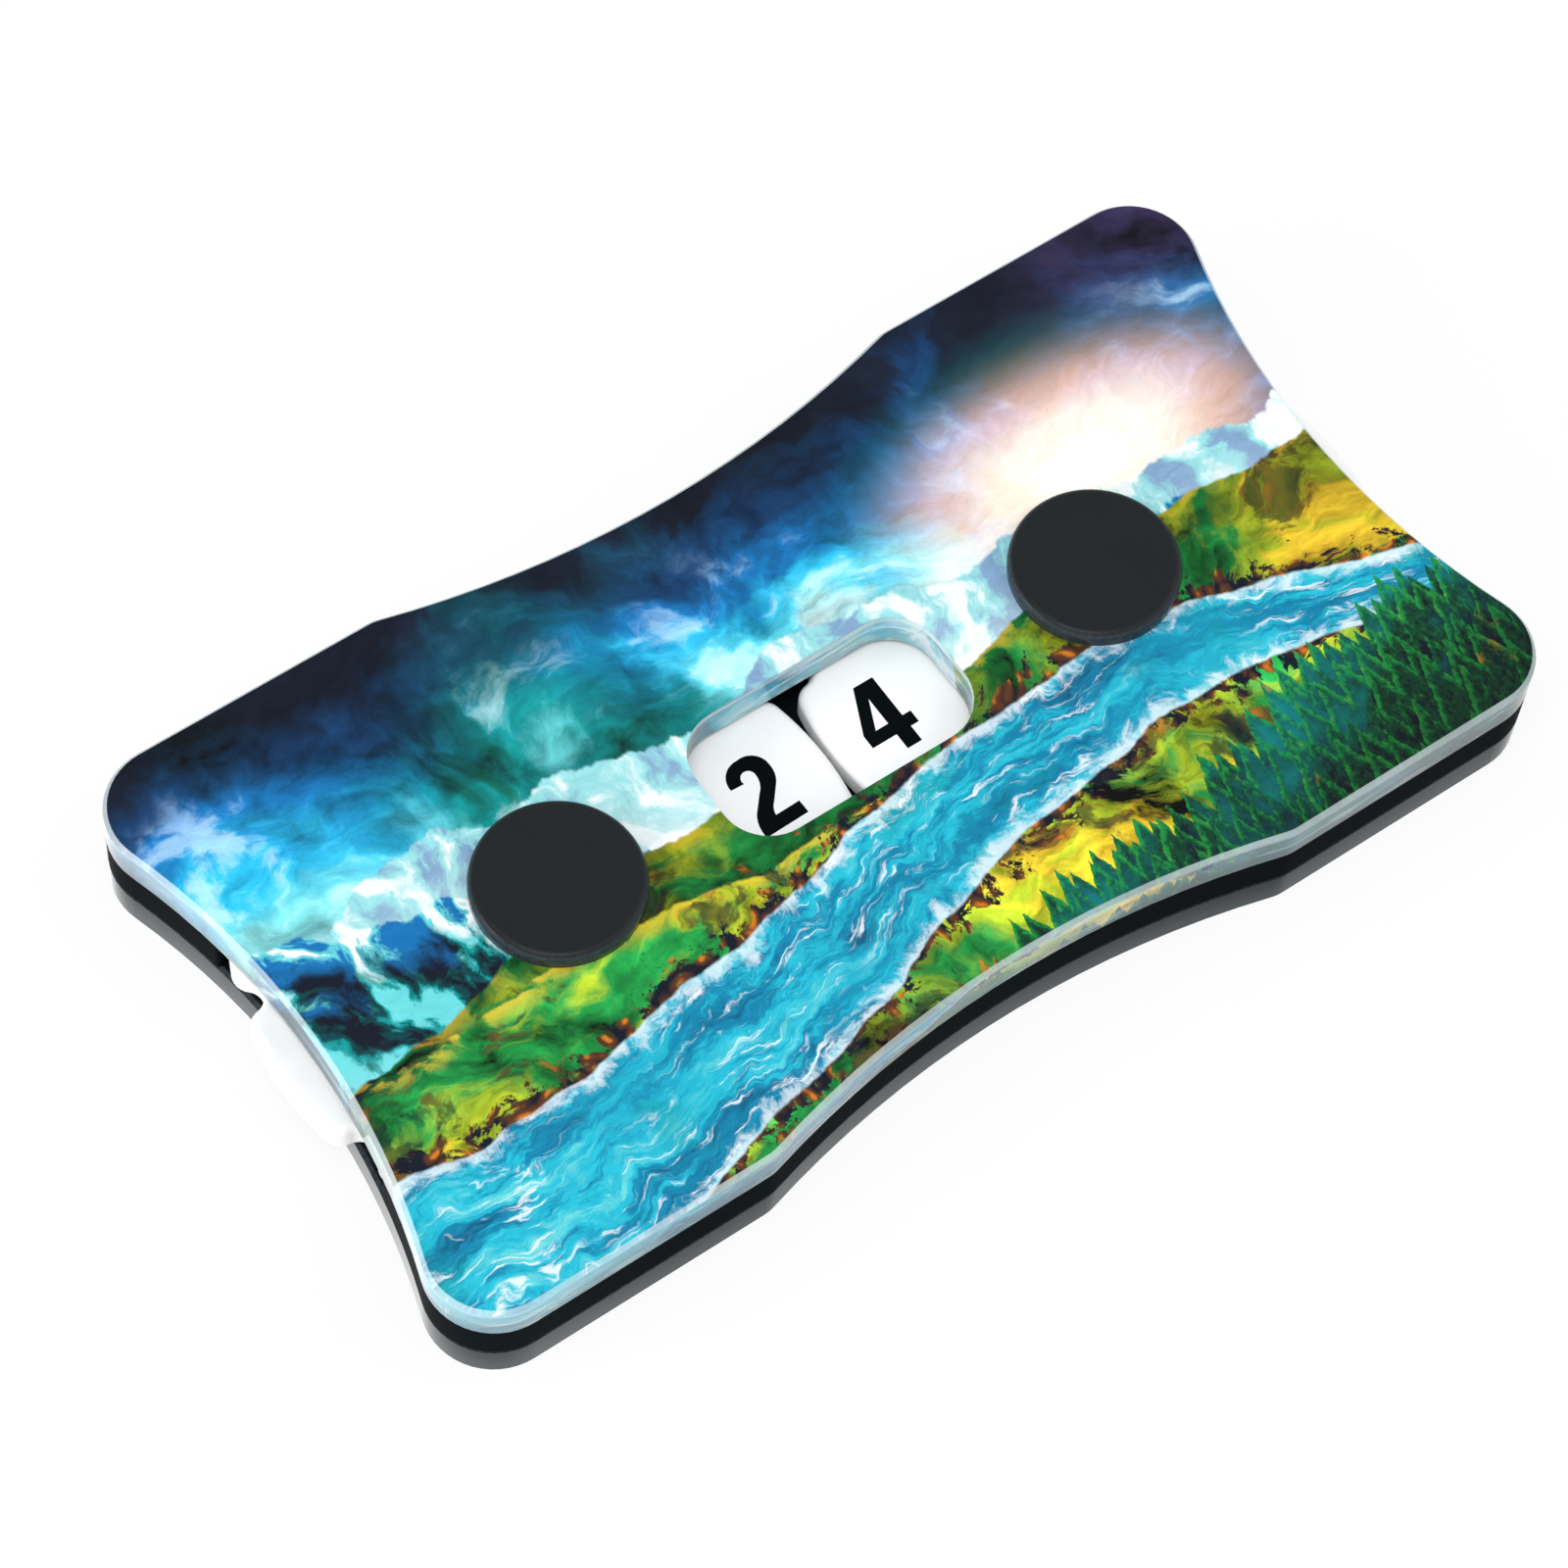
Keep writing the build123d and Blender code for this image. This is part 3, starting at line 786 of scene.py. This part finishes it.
@dataclass(frozen=True)
class ClearFinish:
    """Clear acrylic seen from its cut walls: the print's light carried inwards, pale and soft.

    The print is painted on as painted refraction: it is read the far reach inwards at a wall's top and the
    near reach at its foot.  Pale is the veil over it; glint and shade are painted light and dark streaks of
    reflection.  Walls inside the window's half sizes are the window's.
    """

    picture: Landscape = Landscape()
    top: float = PLATE_TOP
    thickness: float = PLATE_TOP - PLATE_FOOT
    near_reach: float = 1.6 * MM
    far_reach: float = 5.2 * MM
    pale: Colour = (0.20, 0.35, 0.43)
    glint: Colour = (0.72, 0.84, 0.86)
    shade: Colour = (0.05, 0.08, 0.09)
    window: tuple[float, float] = (12.0 * MM, 7.5 * MM)
    window_fade: float = 1.0 * MM
    cut_depth: float = 0.003 * MM

    def build(self) -> Finish:
        """Return the finish.

        A wall point is painted with the print at a place moved inwards, against the wall's normal, by a
        distance that falls with its depth below the top: the reach at the top, less at the foot.
        This is painted refraction.  Long pale and dark streaks are painted over it as painted reflections
        of the far edges of a clear sheet, the wall is painted darker towards its foot, and its arris gets a
        painted highlight.

        Returns:
            The finish.
        """
        finish = Finish("clear_sheet")
        bench = finish.bench
        x, y, z = bench.parts(finish.place)
        nx, ny, nz = bench.parts(finish.normal)
        arris = bench.times(bench.step(nz, 0.2, 0.5), bench.step(nz, 0.98, 0.85))
        depth = bench.line(z, -1.0 / self.thickness, self.top / self.thickness)
        inward = bench.times(bench.line(depth, self.near_reach - self.far_reach, self.far_reach),
                             bench.line(arris, -1.0, 1.0))
        # painted refraction: the print is read at a place moved inwards and painted on the wall
        shift = bench.vector("SCALE", bench.joined(nx, ny, 0.0), inward)
        moved = bench.vector("SUBTRACT", finish.place, shift)
        group = bench.add("ShaderNodeGroup", node_tree=self.picture.group())
        bench.feed(group.inputs[0], moved)
        drawn = bench.vector("MULTIPLY", finish.place, (0.42, 0.42, 5.5))
        streak, _ = bench.noise(drawn, 210.0, 3.0, 0.55, 0.3)
        haze, _ = bench.noise(finish.place, 150.0, 3.0, 0.5)
        inner = bench.times(*(bench.step(bench.math("ABSOLUTE", way), half, half - self.window_fade)
                              for way, half in zip((x, y), self.window)))
        colour = bench.mix(group.outputs[0], self.pale, bench.step(haze, 0.35, 0.65, 0.30, 0.62))
        # painted shade: the wall is painted darker towards its foot, less so inside the window
        painted_foot_tone = bench.step(depth, 0.15, 0.95)
        colour = bench.shade(colour, bench.minus(1.0, bench.times(painted_foot_tone, bench.line(inner, -0.42, 0.50))))
        # painted reflections: dark and pale streaks, and a pale painted highlight near the wall's top
        for layer, share, gain, start in ((self.shade, bench.step(streak, 0.46, 0.34), 0.45, 0.30),
                                          (self.glint, bench.step(streak, 0.54, 0.68), 0.60, 0.30),
                                          (self.glint, bench.step(depth, 0.22, 0.12), 0.35, 0.25)):
            colour = bench.mix(colour, layer, bench.times(share, bench.line(inner, gain, start)))
        # painted highlight: the arris shows the print paled towards the glint colour
        bevel = bench.mix(group.outputs[0], self.glint, bench.line(haze, 0.40, 0.24))
        colour = bench.mix(colour, bevel, arris)
        lines, _ = bench.noise(bench.vector("MULTIPLY", finish.place, (1.0, 1.0, 0.02)), 1500.0, 3.0, 0.6)
        finish.put(Base_Color=colour, Roughness=bench.line(haze, 0.10, 0.05),
                   Specular_IOR_Level=PLASTIC_GLOSS, Normal=bench.bump(lines, self.cut_depth, 0.3))
        return finish


@dataclass(frozen=True)
class WheelFinish:
    """Moulded white satin plastic with a soft grain, and faint handling marks in a band at the rim."""

    colour: Colour = (0.910, 0.900, 0.897)
    soiled: Colour = (0.60, 0.62, 0.62)
    rim_radius: float = 21.75 * MM
    rim_band: float = 2.4 * MM
    grain_depth: float = 0.004 * MM

    def build(self) -> Finish:
        """Return the finish; the soiling grows with the distance from the wheel's own axle.

        Returns:
            The finish.
        """
        finish = Finish("wheel")
        bench = finish.bench
        grain, _ = bench.noise(finish.place, 2200.0, 4.0, 0.6)
        cloud, _ = bench.noise(finish.place, 180.0, 5.0, 0.6)
        rim = bench.step(finish.from_axle(), self.rim_radius - self.rim_band, self.rim_radius)
        marks = bench.times(rim, bench.step(cloud, 0.48, 0.72, 0.0, 0.5))
        colour = bench.shade(self.colour, bench.line(cloud, 0.05, 0.975))
        colour = bench.mix(colour, self.soiled, bench.times(marks, 0.5))
        finish.put(Base_Color=colour, Roughness=bench.line(cloud, 0.10, 0.30),
                   Specular_IOR_Level=PLASTIC_GLOSS, Normal=bench.bump(grain, self.grain_depth, 0.35))
        return finish


@dataclass(frozen=True)
class PaintFinish:
    """Dense black on the digits and the binding posts: fine grain, and a painted highlight at the edges.

    The edges are less rough by the drop, and show a paler painted highlight colour by its share.
    """

    name: str
    colour: Colour
    roughness: float
    gloss: float
    grain_depth: float = 0.006 * MM
    edge_drop: float = 0.18
    # painted highlight: the paler colour painted where the surface turns over, and its share
    worn_edge_and_painted_rim: Colour = (0.075, 0.095, 0.115)
    painted_rim_share: float = 0.0

    def build(self) -> Finish:
        """Return the finish: an even black with grain, and a painted highlight where the surface turns over.

        Returns:
            The finish.
        """
        finish = Finish(self.name)
        bench = finish.bench
        grain, _ = bench.noise(finish.place, 3000.0, 4.0, 0.65)
        cloud, _ = bench.noise(finish.place, 220.0, 5.0, 0.6)
        _, _, up = bench.parts(finish.normal)
        # painted highlight: where the surface turns over, at the rim and the wall
        turn = bench.times(bench.step(up, -0.5, 0.1), bench.step(up, 0.95, 0.50))
        colour = bench.shade(self.colour, bench.line(cloud, 0.4, 0.8))
        painted_rim_mask = bench.step(grain, 0.35, 0.65, 0.6 * self.painted_rim_share, self.painted_rim_share)
        colour = bench.mix(colour, self.worn_edge_and_painted_rim, bench.times(turn, painted_rim_mask))
        rough = bench.minus(bench.line(cloud, 0.08, self.roughness - 0.04),
                            bench.step(up, 0.93, 0.45, 0.0, self.edge_drop))
        finish.put(Base_Color=colour, Roughness=rough, Specular_IOR_Level=self.gloss,
                   Normal=bench.bump(grain, self.grain_depth, 0.4))
        return finish


@dataclass(frozen=True)
class MetalFinish:
    """Turned metal: fine rings round each axle and patches of tarnish."""

    name: str
    colour: Colour
    roughness: float
    tarnish: Colour
    ring_depth: float = 0.004 * MM

    def build(self) -> Finish:
        """Return the finish; the rings are noise read over the distance from the axle and the height.

        Returns:
            The finish.
        """
        finish = Finish(self.name)
        bench = finish.bench
        _, _, z = bench.parts(finish.place)
        rings, _ = bench.noise(bench.joined(finish.from_axle(), z, 0.0), 6500.0, 3.0, 0.7)
        cloud, _ = bench.noise(finish.place, 420.0, 5.0, 0.6)
        colour = bench.mix(bench.shade(self.colour, bench.line(rings, 0.3, 0.85)), self.tarnish,
                           bench.step(cloud, 0.48, 0.72, 0.0, 0.55))
        finish.put(Base_Color=colour, Metallic=1.0, Roughness=bench.line(cloud, 0.18, self.roughness - 0.09),
                   Normal=bench.bump(rings, self.ring_depth, 0.4))
        return finish


@dataclass(frozen=True)
class NylonFinish:
    """Natural nylon: a warm white with a soft grain."""

    colour: Colour = (0.78, 0.77, 0.72)
    grain_depth: float = 0.005 * MM

    def build(self) -> Finish:
        """Return the finish: a warm white with a slow stain and a fine grain.

        Returns:
            The finish.
        """
        finish = Finish("slip_washer")
        bench = finish.bench
        grain, _ = bench.noise(finish.place, 1800.0, 4.0, 0.6)
        cloud, _ = bench.noise(finish.place, 300.0, 4.0, 0.6)
        finish.put(Base_Color=bench.shade(self.colour, bench.line(cloud, 0.2, 0.88)),
                   Roughness=bench.line(cloud, 0.15, 0.42), Specular_IOR_Level=PLASTIC_GLOSS,
                   Normal=bench.bump(grain, self.grain_depth, 0.4))
        return finish


@dataclass(frozen=True)
class Lamp:
    """One square soft lamp that looks at the object, with its side's length and its power in watts.

    Glossy surfaces show a mirrored lamp; a low one would wash out the varnished print.
    """

    name: str
    place: Place
    size: float
    power: float
    mirrored: bool = True

    def build(self) -> None:
        """Hang the lamp."""
        data = bpy.data.lights.new(self.name, "AREA")
        data.shape = "SQUARE"
        data.size = self.size
        data.energy = self.power
        obj = bpy.data.objects.new(self.name, data)
        obj.visible_glossy = self.mirrored
        obj.location = self.place
        obj.rotation_euler = (-Vector(self.place)).to_track_quat("-Z", "Y").to_euler()
        bpy.context.scene.collection.objects.link(obj)


@dataclass(frozen=True)
class Studio:
    """A plain white floor and world, soft lamps, and the camera at the photograph's viewing angle.

    The floor's tone is the share of light that it gives back, and its glow the share of plain white
    where it is seen; the rest holds the shadow.  In reflections it grows brighter between two places on
    X.  Angles are in degrees, the focal length is in pixels of the image, and the sensor's width in
    millimetres.  Aim and distance, from the middle of the plate's upper face, are counted in units.
    """

    floor_half: float = 1.5
    floor_drop: float = 0.05 * MM
    floor_tone: float = 0.88
    floor_glow: float = 0.86
    bright_from: float = -26.0 * MM
    bright_to: float = -44.0 * MM
    bright_extra: float = 0.75
    world_colour: Colour = (0.97, 0.985, 1.0)
    world_level: float = 0.62
    image_size: float = 1600.0
    focal_pixels: float = 5469.23
    sensor: float = 36.0
    near_clip: float = 0.01
    azimuth: float = -40.728
    elevation: float = 61.31
    roll: float = 6.401
    unit: float = HALF_LENGTH / 50.0
    aim_x: float = 3.537
    aim_y: float = 4.385
    distance: float = 403.878
    plate_top: float = PLATE_TOP
    lamps: tuple[Lamp, ...] = (
        Lamp("key_lamp", (-0.22, -0.16, 0.95), 0.45, 4.1),
        Lamp("fill_lamp", (0.70, -0.40, 0.80), 0.7, 2.4),
        Lamp("side_lamp", (-0.85, 0.30, 0.42), 0.3, 2.4),
        Lamp("end_lamp", (-1.00, -0.06, 0.24), 0.4, 3.0, mirrored=False))

    def camera(self) -> None:
        """Set the camera from its angles: back, right and up are worked out as unit vectors."""
        azimuth, elevation, roll = map(math.radians, (self.azimuth, self.elevation, self.roll))
        back = Vector((math.sin(azimuth) * math.cos(elevation), -math.cos(azimuth) * math.cos(elevation),
                       math.sin(elevation)))
        level = Vector((0.0, 0.0, 1.0)).cross(back).normalized()
        upright = back.cross(level)
        right = level * math.cos(roll) + upright * math.sin(roll)
        up = upright * math.cos(roll) - level * math.sin(roll)
        place = (back * self.distance - right * self.aim_x - up * self.aim_y) * self.unit
        place.z += self.plate_top
        data = bpy.data.cameras.new("camera")
        data.sensor_width = self.sensor
        data.sensor_fit = "HORIZONTAL"
        data.lens = self.sensor * self.focal_pixels / self.image_size
        data.clip_start = self.near_clip
        obj = bpy.data.objects.new("camera", data)
        obj.matrix_world = Matrix.Translation(place) @ Matrix((right, up, back)).transposed().to_4x4()
        bpy.context.scene.collection.objects.link(obj)
        bpy.context.scene.camera = obj

    def floor(self) -> None:
        """Lay the floor: white with a soft shadow where it is seen, and clear from below."""
        half, low = self.floor_half, -self.floor_drop
        mesh = bpy.data.meshes.new("floor")
        corners = [(-half, -half, low), (half, -half, low), (half, half, low), (-half, half, low)]
        mesh.from_pydata(corners, [], [(0, 1, 2, 3)])
        obj = bpy.data.objects.new("floor", mesh)
        bpy.context.scene.collection.objects.link(obj)
        material = bpy.data.materials.new("floor")
        material.use_nodes = True
        material.node_tree.nodes.clear()
        bench = Bench(material.node_tree)
        diffuse = bench.add("ShaderNodeBsdfDiffuse")
        bench.feed(diffuse.inputs["Color"], (self.floor_tone,) * 3)
        glow = bench.add("ShaderNodeEmission")
        bench.feed(glow.inputs["Color"], WHITE)
        x, _, _ = bench.parts(bench.add("ShaderNodeTexCoord").outputs["Object"])
        bright = bench.step(x, self.bright_from, self.bright_to, 0.0, self.bright_extra)
        mirrored = bench.add("ShaderNodeLightPath").outputs["Is Glossy Ray"]
        bench.feed(glow.inputs["Strength"], bench.plus(bench.times(bright, mirrored), 1.0))
        share = bench.times(bench.seen(), self.floor_glow)
        surface = bench.laid(diffuse.outputs[0], glow.outputs[0], share)
        below = bench.add("ShaderNodeNewGeometry").outputs["Backfacing"]
        clear = bench.add("ShaderNodeBsdfTransparent")
        output = bench.add("ShaderNodeOutputMaterial")
        bench.feed(output.inputs["Surface"], bench.laid(surface, clear.outputs[0], below))
        mesh.materials.append(material)

    def world(self) -> None:
        """Set the world: an even pale light, and plain white where it is seen."""
        world = bpy.data.worlds.new("studio")
        world.use_nodes = True
        world.node_tree.nodes.clear()
        bench = Bench(world.node_tree)
        light, white = (bench.add("ShaderNodeBackground") for _ in range(2))
        bench.feed(light.inputs["Color"], self.world_colour)
        bench.feed(light.inputs["Strength"], self.world_level)
        bench.feed(white.inputs["Color"], WHITE)
        bench.feed(white.inputs["Strength"], 1.0)
        output = bench.add("ShaderNodeOutputWorld")
        bench.feed(output.inputs["Surface"], bench.laid(light.outputs[0], white.outputs[0], bench.seen()))
        bpy.context.scene.world = world

    def build(self) -> None:
        """Set the whole studio."""
        self.floor()
        self.world()
        for lamp in self.lamps:
            lamp.build()
        self.camera()
        bpy.context.scene.view_settings.view_transform = "Standard"


def both(piece: str) -> tuple[str, ...]:
    """Return the names of one kind of piece on both sides."""
    return tuple(f"{side}_{piece}" for side in SIDES)


@dataclass(frozen=True)
class Case:
    """The three sheets, their print and their fixings, which stay still."""

    # the base's walls are painted paler towards their foot, as painted light
    base: SheetFinish = SheetFinish("base_sheet", (0.0060, 0.0080, 0.0095), 0.10, 0.066,
                                    painted_foot_tone=(0.043, 0.056, 0.062), painted_foot_share=1.0)
    rails: SheetFinish = SheetFinish("rail_sheet", (0.0028, 0.0048, 0.0056), 0.50, 0.0035,
                                     worn=(0.006, 0.009, 0.010))
    plate: ClearFinish = ClearFinish()
    film: PrintFinish = PrintFinish()
    # the posts carry a painted highlight where their surface turns over
    post: PaintFinish = PaintFinish("post", (0.0036, 0.0062, 0.0072), 0.40, 0.18,
                                    edge_drop=0.20, painted_rim_share=0.45)
    screw: MetalFinish = MetalFinish("screw", (0.58, 0.59, 0.60), 0.34, (0.30, 0.29, 0.27))
    sleeve: MetalFinish = MetalFinish("sleeve", (0.72, 0.52, 0.22), 0.30, (0.35, 0.20, 0.08))
    slip_washer: NylonFinish = NylonFinish()
    spring_washer: MetalFinish = MetalFinish("spring_washer", (0.50, 0.50, 0.52), 0.28, (0.22, 0.20, 0.19))

    def build(self) -> None:
        """Dress the sheets, the print, the posts, screws, sleeves and washers."""
        self.base.build().dress("base_plate")
        self.rails.build().dress("front_rail", "back_rail")
        self.plate.build().dress("top_plate")
        self.film.build().dress("picture_film")
        self.post.build().dress(*both("post"))
        self.screw.build().dress("rail_screws", *both("post_screw"))
        self.sleeve.build().dress(*both("sleeve"))
        self.slip_washer.build().dress(*both("slip_washer"))
        self.spring_washer.build().dress(*both("spring_washer"))


@dataclass(frozen=True)
class Dials:
    """The two number wheels and their inlaid digits, which turn."""

    wheel: WheelFinish = WheelFinish()
    digit: PaintFinish = PaintFinish("digit", (0.0024, 0.0038, 0.0044), 0.45, 0.01)

    def build(self) -> None:
        """Dress both wheels and both sets of digits."""
        self.wheel.build().dress(*both("wheel"))
        self.digit.build().dress(*both("digits"))


def main() -> None:
    """Build the object's classes in order, then the studio."""
    logging.basicConfig(level=logging.INFO, format="%(message)s")
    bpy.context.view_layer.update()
    Case().build()
    Dials().build()
    Studio().build()


if __name__ == "__main__":
    main()
